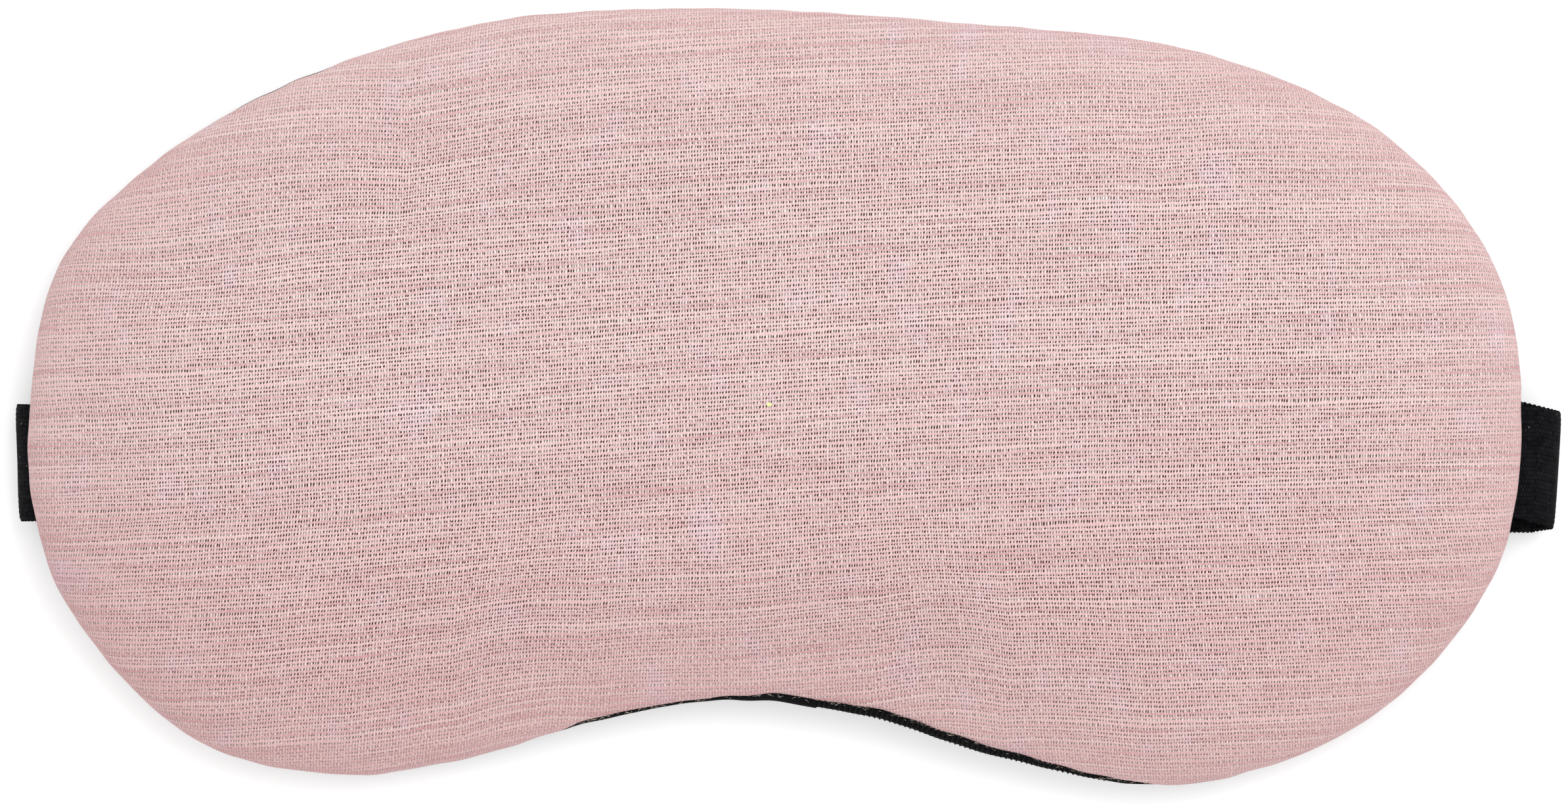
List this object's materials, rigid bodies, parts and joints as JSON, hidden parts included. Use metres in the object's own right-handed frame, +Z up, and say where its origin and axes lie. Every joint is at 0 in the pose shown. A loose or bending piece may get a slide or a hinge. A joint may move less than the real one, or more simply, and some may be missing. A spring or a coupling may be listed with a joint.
{
  "type": "eye pillow",
  "caption": "Contoured padded eye pillow with a nose notch, a slub-weave cloth front, a dark cloth back and a flat elastic strap caught in its side seams.",
  "frame": {"origin": "on the table under the middle of the whole object, strap loops included, as it lies on its back", "axes": "+X along the pillow from side to side, +Y towards the forehead edge, +Z up out of the cloth front"},
  "size_m": [0.21, 0.1061, 0.0151],
  "materials": {
    "linen": "slub plain weave, matt",
    "black_cloth": "plain weave, matt",
    "wadding": "lofted polyester wadding",
    "thread": "spun thread",
    "elastic": "woven elastic with scalloped selvages"
  },
  "bodies": {
    "pillow": {"front_panel": "linen", "back_panel": "black_cloth", "front_wadding": "wadding", "back_wadding": "wadding", "seam_needle_thread": "thread", "seam_bobbin_thread": "thread", "gap_closing_thread": "thread", "left_strap_tail": "elastic", "right_strap_tail": "elastic", "strap_slack_fold": "elastic"},
    "left_strap": {"left_strap_loop": "elastic", "left_strap_run": "elastic"},
    "right_strap": {"right_strap_loop": "elastic", "right_strap_run": "elastic"}
  },
  "joints": [
    {"name": "left_strap_pull", "type": "slide", "parent": "pillow", "child": "left_strap", "axis": [-1, 0, 0], "range_m": [0, 0.03]},
    {"name": "right_strap_pull", "type": "slide", "parent": "pillow", "child": "right_strap", "axis": [1, 0, 0], "range_m": [0, 0.03]}
  ]
}
